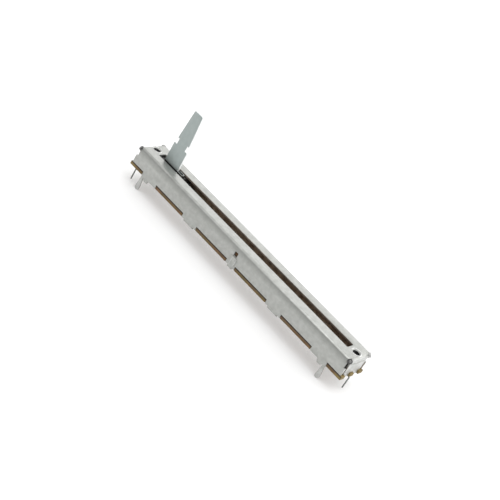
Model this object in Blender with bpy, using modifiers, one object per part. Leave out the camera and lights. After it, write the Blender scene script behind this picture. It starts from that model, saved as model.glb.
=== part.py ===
"""Slide potentiometer with 100 mm travel, for mounting through a circuit board.

The body lies along X. The lever starts at the -X end and slides towards +X.
Z is up, and Z = 0 is the plane of the four lug tips that the part stands on.
Every piece is modelled round one of two datums: the middle of the circuit
board's top face, or the axis of the slider at its rest position.
All sizes are in metres.
"""

import math

import bmesh
import bpy
from mathutils import Matrix

# Clearances between pieces that touch, and between pieces that slide
SEAT_GAP = 0.00025
RUN_GAP = 0.0003

# Slider travel and the lever slot
TRAVEL = 0.1000
SLOT_WIDTH = 0.0043
SLOT_OVERRUN = 0.00257
SLOT_FAR_SPARE = 0.00132
SLOT_CORNER = 0.0005

# Case, folded from one sheet of steel
SHEET = 0.0008
CASE_WIDTH = 0.0150
CASE_HEIGHT = 0.0080
BEND_RADIUS = 0.0013
BEND_STEPS = 6
SCREW_MARGIN = 0.0034
END_MARGIN = 0.0028

# Tapped M3 holes with a drawn collar, whose entry is a round draw radius
SCREW_BORE = 0.0029
COLLAR_WALL = 0.0006
COLLAR_DEPTH = 0.0014
COLLAR_ENTRY = 0.0008

# Corner reliefs: the slit beside each end flap, the tongue of wall below it and the round hole
# where the three folds would meet
RELIEF_DEPTH = 0.0001
RELIEF_GAP = 0.0011
TONGUE_TOP = 0.0037
RELIEF_HOLE = 0.0014

# Lower edge of the side walls, measured down from the board's top face
TAB_DROP = 0.0015
CENTRE_TAB_WIDTH = 0.0050
CENTRE_TAB_DROP = 0.0013
CLINCH_PITCH = 0.0520
CLINCH_TAB_WIDTH = 0.00855
CLINCH_LIP_WIDTH = 0.0053
CENTRE_LIP_WIDTH = 0.0022
LIP_REACH = 0.0022
END_TAB_LENGTH = 0.0088

# Feet that seat on the customer's board, and the snap-in lugs beside them
FOOT_DROP = 0.0030
FOOT_TIP_WIDTH = 0.0014
FOOT_RAMP = 0.0007
FOOT_TO_LUG = 0.00245
LUG_INSET = 0.00775
LUG_DROP = 0.0083
LUG_NECK = 0.0011
LUG_BULB = 0.0021
LUG_STRAIGHT = 0.0008
LUG_ROOT = 0.0012
LUG_ROOT_DROP = 0.0020
LUG_STEPS = 16

# End flaps
FLAP_FOOT_WIDTH = 0.0030
FLAP_FOOT_PITCH = 0.0060

# Window in the front wall, and the pressed rib in the middle of each side wall
WINDOW_WIDTH = 0.0018
WINDOW_BOTTOM = 0.0033
WINDOW_HEIGHT = 0.0022
RIB_WIDTH = 0.0036
RIB_HEIGHT = 0.0032
RIB_RISE = 0.0003

# Phenolic circuit board
BOARD_THICKNESS = 0.0014
BOARD_OVERHANG = 0.00075

# Printed tracks and lands on the board
FILM = 0.0001
TRACK_RUNOUT = 0.0038
RESISTIVE_WIDTH = 0.0030
COLLECTOR_WIDTH = 0.0022
TRACK_SPREAD = 0.0062
LAND_RING = 0.0034

# Hollow rivets and stamped terminals
RIVET_INSET = 0.0038
RIVET_BARREL = 0.0016
RIVET_BORE = 0.0009
RIVET_HEAD = 0.0026
RIVET_FLANGE = 0.00025
TERMINAL_SHEET = 0.0004
TERMINAL_PIN_WIDTH = 0.0006
TERMINAL_EYE = 0.0034
TERMINAL_BEND = 0.0005
TERMINAL_DROP = 0.0075
LEFT_PIN_INSET = 0.0020
LEFT_PIN_SPREAD = 0.0120

# Moulded buffers at both ends of the travel
STOP_FLOOR = 0.0013

# Carriage, longer on the far side of the lever, where the clip stands
CARRIAGE_REST_END = 0.0062
CARRIAGE_FLOOR = 0.0020
RUNNER_LENGTH = 0.0018
CARRIAGE_WAIST = 0.0010

# Hairpin spring strip that wedges the lever in its pocket
CLIP_SHEET = 0.00035
CLIP_WIDTH = 0.0019
CLIP_LENGTH = 0.0033
CLIP_HEIGHT = 0.0028
CLIP_TOP = 0.0081
CLIP_WALL = 0.0004

# Lever blade
LEVER_THICKNESS = 0.0012
LEVER_WIDTH = 0.0081
LEVER_SHOULDER = 0.01687
LEVER_SHOULDER_RADIUS = 0.0004
NECK_WIDTH = 0.0052
NECK_LENGTH = 0.00258
BLADE_WIDTH = 0.0070
BLADE_LENGTH = 0.01435
TIP_WIDTH = 0.0049
TIP_RADIUS = 0.0007
ROOT_WIDTH = 0.0100
ROOT_BOTTOM = 0.0026
ROOT_HEIGHT = 0.0014

# Wiper, one sprung sheet staked under the carriage
WIPER_SHEET = 0.0002
WIPER_PLATE_LENGTH = 0.0042
WIPER_PLATE_INSET = 0.0008
WIPER_WIDTH = 0.0100
WIPER_ARM_RUN = 0.0034
WIPER_CURL = 0.0008
WIPER_CURL_RISE = 0.0003
FINGER_COUNT = 4
FINGER_SLIT = 0.0002
STAKE_POST = 0.0012
STAKE_HEAD = 0.0022
STAKE_HEAD_HEIGHT = 0.0003

# Bowed spring between the carriage and the front wall
SPRING_SHEET = 0.0002
SPRING_HEIGHT = 0.0026
SPRING_STEPS = 12

ROUND_STEPS = 24
ARC_STEPS = 6
CUT_MARGIN = 0.0020
WELD_DISTANCE = 0.000001

# Sizes that follow from the ones above
CLIP_START = LEVER_WIDTH / 2 + SEAT_GAP
CLIP_END = CLIP_START + CLIP_LENGTH
CLIP_FLOOR = CLIP_TOP - CLIP_HEIGHT
CASE_SLOT_LENGTH = SLOT_OVERRUN + LEVER_WIDTH / 2 + TRAVEL + CLIP_END + SLOT_FAR_SPARE
REST_X = -CASE_SLOT_LENGTH / 2 + SLOT_OVERRUN + LEVER_WIDTH / 2
SCREW_PITCH = CASE_SLOT_LENGTH + 2 * SCREW_MARGIN
CASE_LENGTH = SCREW_PITCH + 2 * END_MARGIN
CASE_END = CASE_LENGTH / 2
CASE_SIDE = CASE_WIDTH / 2
INNER_END = CASE_END - SHEET
INNER_SIDE = CASE_SIDE - SHEET
INNER_TOP = CASE_HEIGHT - SHEET
WALL_END = INNER_END - RELIEF_DEPTH
FLAP_SIDE = INNER_SIDE - RELIEF_GAP
LUG_X = CASE_END - LUG_INSET
COLLAR_RADIUS = SCREW_BORE / 2 + COLLAR_WALL
BOARD_BOTTOM = -BOARD_THICKNESS
BOARD_END = CASE_END + BOARD_OVERHANG
LIP_TOP = BOARD_BOTTOM - SEAT_GAP
FILM_BOTTOM = SEAT_GAP
FILM_TOP = FILM_BOTTOM + FILM
TRACK_END = -REST_X + TRACK_RUNOUT
RIVET_X = CASE_END - RIVET_INSET
EYE_TOP = BOARD_BOTTOM - SEAT_GAP
CARRIAGE_TOP = INNER_TOP - RUN_GAP
CARRIAGE_SIDE = INNER_SIDE - RUN_GAP
CARRIAGE_FAR_END = CLIP_END + SEAT_GAP + CLIP_WALL
CARRIAGE_LENGTH = CARRIAGE_REST_END + CARRIAGE_FAR_END
CARRIAGE_MIDDLE = (CARRIAGE_FAR_END - CARRIAGE_REST_END) / 2
STOP_FACE_REST = REST_X - CARRIAGE_REST_END - RUN_GAP
STOP_FACE_FAR = REST_X + TRAVEL + CARRIAGE_FAR_END + RUN_GAP
WIPER_TOP = CARRIAGE_FLOOR - SEAT_GAP
STAKE_HEAD_TOP = WIPER_TOP - WIPER_SHEET - SEAT_GAP


def clear_scene():
    """Remove whatever the scene starts with."""
    for thing in list(bpy.data.objects):
        bpy.data.objects.remove(thing, do_unlink=True)


def make_collection(name):
    """Add a collection to the scene."""
    collection = bpy.data.collections.new(name)
    bpy.context.scene.collection.children.link(collection)
    return collection


def make_datum(name, location, collection):
    """Add an empty that pieces are placed round."""
    datum = bpy.data.objects.new(name, None)
    datum.location = location
    datum.empty_display_size = CASE_HEIGHT
    collection.objects.link(datum)
    return datum


def make_material(name, colour, roughness, metallic):
    """Give a Principled material of one colour."""
    material = bpy.data.materials.new(name)
    material.use_nodes = True
    shader = material.node_tree.nodes["Principled BSDF"]
    shader.inputs["Base Color"].default_value = (*colour, 1.0)
    shader.inputs["Roughness"].default_value = roughness
    shader.inputs["Metallic"].default_value = metallic
    return material


def mesh_object(name, mesh_data, collection):
    """Turn a bmesh into an object with outward faces."""
    bmesh.ops.recalc_face_normals(mesh_data, faces=mesh_data.faces)
    if mesh_data.calc_volume(signed=True) < 0:
        bmesh.ops.reverse_faces(mesh_data, faces=mesh_data.faces)
    mesh = bpy.data.meshes.new(name)
    mesh_data.to_mesh(mesh)
    mesh_data.free()
    piece = bpy.data.objects.new(name, mesh)
    collection.objects.link(piece)
    return piece


def add_box(mesh_data, low, high):
    """Add one box between two corners to a bmesh."""
    verts = bmesh.ops.create_cube(mesh_data, size=1.0)["verts"]
    size = [b - a for a, b in zip(low, high)]
    middle = [(a + b) / 2 for a, b in zip(low, high)]
    bmesh.ops.scale(mesh_data, vec=size, verts=verts)
    bmesh.ops.translate(mesh_data, vec=middle, verts=verts)
    return verts


def boxes(name, corners, collection):
    """Make one object from boxes, each given by two corners."""
    mesh_data = bmesh.new()
    for low, high in corners:
        add_box(mesh_data, low, high)
    return mesh_object(name, mesh_data, collection)


def folded_box(name, half_length, half_width, floor, top, radius, collection):
    """Make a box whose four upper edges are bent to a radius."""
    mesh_data = bmesh.new()
    add_box(mesh_data, (-half_length, -half_width, floor), (half_length, half_width, top))
    middle = (floor + top) / 2
    edges = [edge for edge in mesh_data.edges if all(vert.co.z > middle for vert in edge.verts)]
    bmesh.ops.bevel(mesh_data, geom=edges, offset=radius, segments=BEND_STEPS, profile=0.5, affect="EDGES")
    return mesh_object(name, mesh_data, collection)


def add_cylinder(mesh_data, centre, radius, low, high):
    """Add one upright cylinder to a bmesh."""
    spin = Matrix.Translation((centre[0], centre[1], (low + high) / 2))
    bmesh.ops.create_cone(
        mesh_data,
        cap_ends=True,
        segments=ROUND_STEPS,
        radius1=radius,
        radius2=radius,
        depth=high - low,
        matrix=spin,
    )


def cylinders(name, centres, radius, low, high, collection):
    """Make one object from upright cylinders of one size."""
    mesh_data = bmesh.new()
    for centre in centres:
        add_cylinder(mesh_data, centre, radius, low, high)
    return mesh_object(name, mesh_data, collection)


def plane_matrix(plane):
    """Turn a flat outline from XY into the named plane."""
    if plane == "XZ":
        return Matrix(((1, 0, 0, 0), (0, 0, -1, 0), (0, 1, 0, 0), (0, 0, 0, 1)))
    if plane == "YZ":
        return Matrix(((0, 0, 1, 0), (1, 0, 0, 0), (0, 1, 0, 0), (0, 0, 0, 1)))
    return Matrix.Identity(4)


def draw_loop(curve, points):
    """Add one closed loop of points to a flat curve."""
    spline = curve.splines.new("POLY")
    spline.points.add(len(points) - 1)
    for point, (u, v) in zip(spline.points, points):
        point.co = (u, v, 0, 1)
    spline.use_cyclic_u = True


def outline_solid(name, points, thickness, collection, plane="XY", offset=(0, 0, 0), holes=()):
    """Make a solid from a flat outline and its holes, with half its thickness on each side."""
    curve = bpy.data.curves.new(name, "CURVE")
    curve.dimensions = "2D"
    curve.fill_mode = "BOTH"
    curve.extrude = thickness / 2
    for loop in (points, *holes):
        draw_loop(curve, loop)
    drawn = bpy.data.objects.new(name, curve)
    collection.objects.link(drawn)
    depsgraph = bpy.context.evaluated_depsgraph_get()
    filled = bpy.data.meshes.new_from_object(drawn.evaluated_get(depsgraph))
    bpy.data.objects.remove(drawn, do_unlink=True)
    mesh_data = bmesh.new()
    mesh_data.from_mesh(filled)
    bmesh.ops.remove_doubles(mesh_data, verts=mesh_data.verts, dist=WELD_DISTANCE)
    mesh_data.transform(Matrix.Translation(offset) @ plane_matrix(plane))
    return mesh_object(name, mesh_data, collection)


def turned_solid(name, profile, centre, collection):
    """Turn a profile of (radius, height) points, given from the top down its outer side.

    A profile that starts off the axis is closed into a ring.
    """
    mesh_data = bmesh.new()
    verts = [mesh_data.verts.new((radius, 0, height)) for radius, height in profile]
    if profile[0][0] > 0:
        verts.append(verts[0])
    for first, second in zip(verts, verts[1:]):
        mesh_data.edges.new((first, second))
    mesh = bpy.data.meshes.new(name)
    mesh_data.to_mesh(mesh)
    mesh_data.free()
    piece = bpy.data.objects.new(name, mesh)
    piece.location = (centre[0], centre[1], 0)
    collection.objects.link(piece)
    screw = piece.modifiers.new("turn", "SCREW")
    screw.steps = ROUND_STEPS
    screw.render_steps = ROUND_STEPS
    screw.use_merge_vertices = True
    screw.merge_threshold = WELD_DISTANCE
    return piece


def arc(centre, radius, start, end, steps):
    """List the points of an arc, with its angles in degrees."""
    points = []
    for step in range(steps + 1):
        angle = math.radians(start + (end - start) * step / steps)
        points.append((centre[0] + radius * math.cos(angle), centre[1] + radius * math.sin(angle)))
    return points


def circle(centre, radius):
    """List the points of a full circle."""
    return arc(centre, radius, 0, 360 - 360 / ROUND_STEPS, ROUND_STEPS - 1)


def rounded_rectangle(half_u, half_v, radius):
    """List the outline of a rectangle with round corners."""
    u, v = half_u - radius, half_v - radius
    points = arc((u, v), radius, 0, 90, ARC_STEPS)
    points += arc((-u, v), radius, 90, 180, ARC_STEPS)
    points += arc((-u, -v), radius, 180, 270, ARC_STEPS)
    points += arc((u, -v), radius, 270, 360, ARC_STEPS)
    return points


def mirrored(points):
    """Close a half outline, given from the middle outwards, with its mirror image."""
    return [(-u, v) for u, v in reversed(points)] + points


def boolean(piece, tool, operation):
    """Cut a tool from a piece, or join it on, and hide the tool."""
    modifier = piece.modifiers.new(tool.name, "BOOLEAN")
    modifier.operation = operation
    modifier.solver = "EXACT"
    modifier.object = tool
    tool.hide_render = True
    tool.display_type = "WIRE"


def finish(piece, material, datum):
    """Give a piece its material, its datum and smooth round faces."""
    piece.data.materials.append(material)
    piece.parent = datum
    piece.data.shade_smooth()
    piece.data.set_sharp_from_angle(angle=math.radians(30))
    for modifier in piece.modifiers:
        if modifier.type == "BOOLEAN":
            modifier.object.parent = datum


def lug_edge():
    """List one lug's edge from its inner root, round the bulb, to its outer root."""
    bulb = LUG_BULB / 2
    centre = (LUG_X, bulb - LUG_DROP)
    bulb_top = centre[1] + LUG_STRAIGHT
    neck_z = -(FOOT_DROP + LUG_ROOT_DROP) / 2
    edge = [(LUG_X - LUG_ROOT / 2, -LUG_ROOT_DROP), (LUG_X - LUG_NECK / 2, neck_z)]
    edge += [(LUG_X - bulb, bulb_top)] + arc(centre, bulb, 180, 360, LUG_STEPS) + [(LUG_X + bulb, bulb_top)]
    edge += [(LUG_X + LUG_NECK / 2, neck_z), (LUG_X + LUG_ROOT / 2, -LUG_ROOT_DROP)]
    return edge


def wall_edge():
    """List the lower edge of half a side wall, from the middle outwards."""
    recess = SEAT_GAP
    centre = CENTRE_TAB_WIDTH / 2
    clinch_start = (CLINCH_PITCH - CLINCH_TAB_WIDTH) / 2
    clinch_end = (CLINCH_PITCH + CLINCH_TAB_WIDTH) / 2
    tab_end = LUG_X + LUG_ROOT / 2
    tab_start = tab_end - END_TAB_LENGTH
    foot_middle = LUG_X - FOOT_TO_LUG
    foot_in = foot_middle - FOOT_TIP_WIDTH / 2
    foot_out = foot_middle + FOOT_TIP_WIDTH / 2
    edge = [(centre, -CENTRE_TAB_DROP), (centre, recess)]
    edge += [(clinch_start, recess), (clinch_start, -TAB_DROP)]
    edge += [(clinch_end, -TAB_DROP), (clinch_end, recess)]
    edge += [(tab_start, recess), (tab_start, -TAB_DROP)]
    edge += [(foot_in - FOOT_RAMP, -TAB_DROP), (foot_in, -FOOT_DROP), (foot_out, -FOOT_DROP)]
    edge += lug_edge()
    edge += [(tab_end, recess), (CASE_END + CUT_MARGIN, recess)]
    return edge


def wall_trim(name, side, collection):
    """Make the cutter that leaves one side wall its lower edge."""
    below = -LUG_DROP - CUT_MARGIN
    points = mirrored(wall_edge())
    points = [(-CASE_END - CUT_MARGIN, below)] + points + [(CASE_END + CUT_MARGIN, below)]
    inner = INNER_SIDE - SEAT_GAP / 2
    outer = CASE_SIDE + CUT_MARGIN
    middle = side * (inner + outer) / 2
    return outline_solid(name, points, outer - inner, collection, "XZ", (0, middle, 0))


def flap_trim(name, end, collection):
    """Make the cutter that leaves one end flap its lower edge and feet."""
    side = INNER_SIDE - SEAT_GAP
    below = -LUG_DROP - CUT_MARGIN
    inner_foot = (FLAP_FOOT_PITCH - FLAP_FOOT_WIDTH) / 2
    outer_foot = (FLAP_FOOT_PITCH + FLAP_FOOT_WIDTH) / 2
    edge = [(inner_foot, SEAT_GAP), (inner_foot, BOARD_BOTTOM)]
    edge += [(outer_foot, BOARD_BOTTOM), (outer_foot, SEAT_GAP), (side, SEAT_GAP), (side, below)]
    inner = INNER_END - SEAT_GAP
    outer = CASE_END + CUT_MARGIN
    middle = end * (inner + outer) / 2
    return outline_solid(name, mirrored(edge), outer - inner, collection, "YZ", (middle, 0, 0))


def ordered(first, second):
    """Sort two opposite corners of a box into its low and high corner."""
    low = tuple(min(pair) for pair in zip(first, second))
    high = tuple(max(pair) for pair in zip(first, second))
    return low, high


def relief_boxes(outer_y, floor, top):
    """List a box at each corner of the case, from the end flap's edge outwards."""
    corners = []
    for end in (-1, 1):
        for side in (-1, 1):
            low = (end * WALL_END, side * FLAP_SIDE, floor)
            high = (end * (CASE_END + CUT_MARGIN), side * outer_y, top)
            corners.append(ordered(low, high))
    return corners


def corner_holes(collection):
    """Make the cutter of the round hole where the folds would meet, at each upper corner."""
    mesh_data = bmesh.new()
    for end in (-1, 1):
        for side in (-1, 1):
            centre = (end * CASE_END, side * (CASE_SIDE - SHEET / 2), CASE_HEIGHT - SHEET)
            bmesh.ops.create_uvsphere(
                mesh_data,
                u_segments=ROUND_STEPS,
                v_segments=ROUND_STEPS // 2,
                radius=RELIEF_HOLE,
                matrix=Matrix.Translation(centre),
            )
    return mesh_object("corner_holes", mesh_data, collection)


def relief_cutters(collection):
    """Make the cutters that free the end flaps: the upper corners, the lower slits and the holes."""
    upper = relief_boxes(CASE_SIDE + CUT_MARGIN, TONGUE_TOP, CASE_HEIGHT + CUT_MARGIN)
    lower = relief_boxes(INNER_SIDE, -LUG_DROP - CUT_MARGIN, TONGUE_TOP + SEAT_GAP)
    return [
        boxes("relief_upper", upper, collection),
        boxes("relief_lower", lower, collection),
        corner_holes(collection),
    ]


def lip(name, x_middle, width, side, collection):
    """Make a clinched lip: the wall's foot bent inwards under the board."""
    radius = SHEET
    outer = CASE_SIDE
    bottom = LIP_TOP - SHEET
    tip = outer - SHEET - LIP_REACH
    bend = arc((outer - radius, bottom + radius), radius, 0, -90, ARC_STEPS)
    points = [(outer, 0)] + bend + [(tip, bottom), (tip, LIP_TOP), (INNER_SIDE, LIP_TOP), (INNER_SIDE, 0)]
    points = [(side * u, v) for u, v in points]
    return outline_solid(name, points, width, collection, "YZ", (x_middle, 0, 0))


def case_lips(collection):
    """Make the lips of all tabs that hold the board up."""
    lips = []
    for side, side_name in ((-1, "front"), (1, "back")):
        for x_middle, width, place in (
            (-CLINCH_PITCH / 2, CLINCH_LIP_WIDTH, "left"),
            (0, CENTRE_LIP_WIDTH, "middle"),
            (CLINCH_PITCH / 2, CLINCH_LIP_WIDTH, "right"),
        ):
            lips.append(lip(f"lip_{side_name}_{place}", x_middle, width, side, collection))
    return lips


def screw_hole(name, end, collection):
    """Make the cutter of one tapped hole, with the drawn entry of its collar."""
    bore = SCREW_BORE / 2
    centre = (bore + COLLAR_ENTRY, CASE_HEIGHT - COLLAR_ENTRY)
    entry = arc(centre, COLLAR_ENTRY, 90, 180, ARC_STEPS)
    profile = [(0, CASE_HEIGHT + CUT_MARGIN), (bore + COLLAR_ENTRY, CASE_HEIGHT + CUT_MARGIN)]
    profile += entry
    profile += [(bore, INNER_TOP - COLLAR_DEPTH - CUT_MARGIN), (0, INNER_TOP - COLLAR_DEPTH - CUT_MARGIN)]
    return turned_solid(name, profile, (end * SCREW_PITCH / 2, 0), collection)


def wall_window(collection):
    """Make the cutter of the small window in the front wall."""
    half = WINDOW_WIDTH / 2
    low = (-half, -CASE_SIDE - CUT_MARGIN, WINDOW_BOTTOM)
    high = (half, -INNER_SIDE + CUT_MARGIN, WINDOW_BOTTOM + WINDOW_HEIGHT)
    return boxes("wall_window", [(low, high)], collection)


def pressed_ribs(collection):
    """Make the shallow rib pressed outwards in the middle of each side wall."""
    half = RIB_WIDTH / 2
    foot = -CENTRE_TAB_DROP + RIB_RISE
    outer = CASE_SIDE + RIB_RISE
    inner = CASE_SIDE - SHEET / 2
    chamfer = RIB_RISE
    profile = [(half, inner), (half, CASE_SIDE), (half - chamfer, outer)]
    height = RIB_HEIGHT - foot
    ribs = []
    for side, side_name in ((-1, "front"), (1, "back")):
        points = [(u, side * v) for u, v in mirrored(list(reversed(profile)))]
        middle = (RIB_HEIGHT + foot) / 2
        ribs.append(outline_solid(f"rib_{side_name}", points, height, collection, "XY", (0, 0, middle)))
    return ribs


def build_case(parts, tools, datum, steel):
    """Fold the case: a box with bent edges, hollowed, then trimmed to its blank."""
    below = -LUG_DROP
    case = folded_box("case", CASE_END, CASE_SIDE, below, CASE_HEIGHT, BEND_RADIUS, parts)
    inner_radius = max(BEND_RADIUS - SHEET, SHEET / 4)
    floor = below - CUT_MARGIN
    hollow = folded_box("case_hollow", INNER_END, INNER_SIDE, floor, INNER_TOP, inner_radius, tools)
    boolean(case, hollow, "DIFFERENCE")
    for cutter in relief_cutters(tools):
        boolean(case, cutter, "DIFFERENCE")
    boolean(case, wall_trim("trim_front", -1, tools), "DIFFERENCE")
    boolean(case, wall_trim("trim_back", 1, tools), "DIFFERENCE")
    boolean(case, flap_trim("trim_left", -1, tools), "DIFFERENCE")
    boolean(case, flap_trim("trim_right", 1, tools), "DIFFERENCE")
    for piece in case_lips(tools) + pressed_ribs(tools):
        boolean(case, piece, "UNION")
    boolean(case, wall_window(tools), "DIFFERENCE")
    centres = [(-SCREW_PITCH / 2, 0), (SCREW_PITCH / 2, 0)]
    low = INNER_TOP - COLLAR_DEPTH
    high = INNER_TOP + SHEET / 4
    boolean(case, cylinders("screw_collars", centres, COLLAR_RADIUS, low, high, tools), "UNION")
    boolean(case, screw_hole("screw_hole_left", -1, tools), "DIFFERENCE")
    boolean(case, screw_hole("screw_hole_right", 1, tools), "DIFFERENCE")
    slot_points = rounded_rectangle(CASE_SLOT_LENGTH / 2, SLOT_WIDTH / 2, SLOT_CORNER)
    slot = outline_solid("lever_slot", slot_points, SHEET + CUT_MARGIN, tools, "XY", (0, 0, CASE_HEIGHT))
    boolean(case, slot, "DIFFERENCE")
    finish(case, steel, datum)


def board_outline():
    """List a quarter of the board's edge, from the middle of its side to its end."""
    wide = CASE_SIDE
    narrow = INNER_SIDE - SEAT_GAP
    centre = CENTRE_TAB_WIDTH / 2 + SEAT_GAP
    clinch_start = (CLINCH_PITCH - CLINCH_TAB_WIDTH) / 2 - SEAT_GAP
    clinch_end = (CLINCH_PITCH + CLINCH_TAB_WIDTH) / 2 + SEAT_GAP
    tab_end = LUG_X + LUG_ROOT / 2
    tab_start = tab_end - END_TAB_LENGTH - SEAT_GAP
    past_lug = tab_end + SEAT_GAP
    notch_depth = BOARD_OVERHANG + SHEET + SEAT_GAP
    outer_foot = (FLAP_FOOT_PITCH + FLAP_FOOT_WIDTH) / 2 + SEAT_GAP
    inner_foot = (FLAP_FOOT_PITCH - FLAP_FOOT_WIDTH) / 2 - SEAT_GAP
    edge = [(centre, narrow), (centre, wide), (clinch_start, wide), (clinch_start, narrow)]
    edge += [(clinch_end, narrow), (clinch_end, wide), (tab_start, wide), (tab_start, narrow)]
    edge += [(past_lug, narrow), (past_lug, wide), (BOARD_END, wide), (BOARD_END, outer_foot)]
    edge += [(BOARD_END - notch_depth, outer_foot), (BOARD_END - notch_depth, inner_foot)]
    edge += [(BOARD_END, inner_foot)]
    return edge


def rivet_places():
    """Give the place of each rivet, with the pin that its terminal leads to."""
    left_pin = -(CASE_END - LEFT_PIN_INSET)
    half_spread = TRACK_SPREAD / 2
    return {
        "left_front": ((-RIVET_X, -half_spread), (left_pin, -LEFT_PIN_SPREAD / 2)),
        "left_back": ((-RIVET_X, half_spread), (left_pin, LEFT_PIN_SPREAD / 2)),
        "right": ((RIVET_X, 0), (BOARD_END, 0)),
    }


def build_board(parts, datum, phenolic):
    """Cut the board to its outline and drill it for the rivets."""
    quarter = board_outline()
    back = mirrored(quarter)
    front = [(u, -v) for u, v in reversed(back)]
    level = (0, 0, BOARD_BOTTOM / 2)
    radius = RIVET_BARREL / 2 + SEAT_GAP
    holes = [circle(rivet, radius) for rivet, pin in rivet_places().values()]
    board = outline_solid("circuit_board", back + front, BOARD_THICKNESS, parts, "XY", level, holes)
    finish(board, phenolic, datum)


def build_tracks(parts, datum, carbon, silver):
    """Print the resistive track and the collector track along the board."""
    half_spread = TRACK_SPREAD / 2
    low = (-TRACK_END, -half_spread - RESISTIVE_WIDTH / 2, FILM_BOTTOM)
    high = (TRACK_END, -half_spread + RESISTIVE_WIDTH / 2, FILM_TOP)
    finish(boxes("resistive_track", [(low, high)], parts), carbon, datum)
    start = -RIVET_X + LAND_RING / 2 + SEAT_GAP
    low = (start, half_spread - COLLECTOR_WIDTH / 2, FILM_BOTTOM)
    high = (TRACK_END, half_spread + COLLECTOR_WIDTH / 2, FILM_TOP)
    finish(boxes("collector_track", [(low, high)], parts), silver, datum)


def land_outline(rivet, edge_x, track_y):
    """List a land's outline: a ring round the rivet that runs to the track's end."""
    half = RESISTIVE_WIDTH / 2
    ring = LAND_RING / 2
    if rivet[0] < edge_x:
        points = arc(rivet, ring, 90, 270, ROUND_STEPS // 2)
        return points + [(edge_x, track_y - half), (edge_x, track_y + half)]
    points = arc(rivet, ring, -90, 90, ROUND_STEPS // 2)
    return points + [(edge_x, track_y + half), (edge_x, track_y - half)]


def build_lands(parts, datum, silver):
    """Print the silver lands between the element's ends and their rivets."""
    track_y = -TRACK_SPREAD / 2
    level = (0, 0, (FILM_BOTTOM + FILM_TOP) / 2)
    radius = RIVET_BARREL / 2 + SEAT_GAP
    places = rivet_places()
    for name, rivet_name, end in (("land_left", "left_front", -1), ("land_right", "right", 1)):
        rivet = places[rivet_name][0]
        edge_x = end * (TRACK_END + SEAT_GAP)
        points = land_outline(rivet, edge_x, track_y)
        land = outline_solid(name, points, FILM, parts, "XY", level, [circle(rivet, radius)])
        finish(land, silver, datum)


def build_rivets(parts, datum, brass):
    """Turn the hollow rivets, with a flange above the land and one under the terminal."""
    top = FILM_TOP + SEAT_GAP
    bottom = EYE_TOP - TERMINAL_SHEET - SEAT_GAP
    barrel = RIVET_BARREL / 2
    head = RIVET_HEAD / 2
    bore = RIVET_BORE / 2
    profile = [(bore, top + RIVET_FLANGE), (head, top + RIVET_FLANGE), (head, top), (barrel, top)]
    profile += [(barrel, bottom), (head, bottom), (head, bottom - RIVET_FLANGE)]
    profile += [(bore, bottom - RIVET_FLANGE)]
    for place, (rivet, pin) in rivet_places().items():
        finish(turned_solid(f"rivet_{place}", profile, rivet, parts), brass, datum)


def terminal_leg(name, rivet, pin, collection):
    """Bend a strip that runs from the rivet under the board and down to its tip."""
    run_x = pin[0] - rivet[0]
    run_y = pin[1] - rivet[1]
    run = math.hypot(run_x, run_y)
    outer = TERMINAL_BEND + TERMINAL_SHEET
    corner = (run - outer, EYE_TOP - outer)
    bend_out = arc(corner, outer, 90, 0, ARC_STEPS)
    bend_in = arc(corner, TERMINAL_BEND, 0, 90, ARC_STEPS)
    start = RIVET_BARREL / 2 + SEAT_GAP
    bottom = -TERMINAL_DROP
    points = [(start, EYE_TOP)] + bend_out + [(run, bottom), (run - TERMINAL_SHEET, bottom)]
    points += bend_in + [(start, EYE_TOP - TERMINAL_SHEET)]
    leg = outline_solid(name, points, TERMINAL_PIN_WIDTH, collection, "XZ")
    leg.data.transform(Matrix.Rotation(math.atan2(run_y, run_x), 4, "Z"))
    leg.data.transform(Matrix.Translation((rivet[0], rivet[1], 0)))
    return leg


def build_terminals(parts, tools, datum, tinned):
    """Stamp each terminal: an eye under the board and a leg bent down."""
    low = EYE_TOP - TERMINAL_SHEET
    radius = RIVET_BARREL / 2 + SEAT_GAP
    for place, (rivet, pin) in rivet_places().items():
        name = f"terminal_{place}"
        eye = cylinders(name, [rivet], TERMINAL_EYE / 2, low, EYE_TOP, parts)
        leg = terminal_leg(f"{name}_leg", rivet, pin, tools)
        hole = cylinders(f"{name}_hole", [rivet], radius, low - CUT_MARGIN, 0, tools)
        boolean(eye, leg, "UNION")
        boolean(eye, hole, "DIFFERENCE")
        finish(eye, tinned, datum)


def build_end_stops(parts, tools, datum, rubber):
    """Mould the buffers that sit round the screw collars at both ends."""
    side = INNER_SIDE - SEAT_GAP
    top = INNER_TOP - SEAT_GAP
    radius = COLLAR_RADIUS + SEAT_GAP
    for name, end, face in (("end_stop_left", -1, STOP_FACE_REST), ("end_stop_right", 1, STOP_FACE_FAR)):
        low, high = ordered((face, -side, STOP_FLOOR), (end * (INNER_END - SEAT_GAP), side, top))
        stop = boxes(name, [(low, high)], parts)
        centre = (end * SCREW_PITCH / 2, 0)
        bore = cylinders(f"{name}_bore", [centre], radius, 0, CASE_HEIGHT, tools)
        boolean(stop, bore, "DIFFERENCE")
        finish(stop, rubber, datum)


def carriage_outline():
    """List a quarter of the carriage's plan, from the middle of its side to its end."""
    waist = CARRIAGE_SIDE - CARRIAGE_WAIST
    end = CARRIAGE_LENGTH / 2
    return [(end - RUNNER_LENGTH, waist), (end - RUNNER_LENGTH, CARRIAGE_SIDE), (end, CARRIAGE_SIDE)]


def lever_outline(gap):
    """List half the lever's outline from its foot up, widened by a gap for its pocket."""
    root = ROOT_WIDTH / 2 + gap
    width = LEVER_WIDTH / 2 + gap
    root_top = ROOT_BOTTOM + ROOT_HEIGHT + gap
    return [(root, ROOT_BOTTOM - gap), (root, root_top), (width, root_top)]


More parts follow.
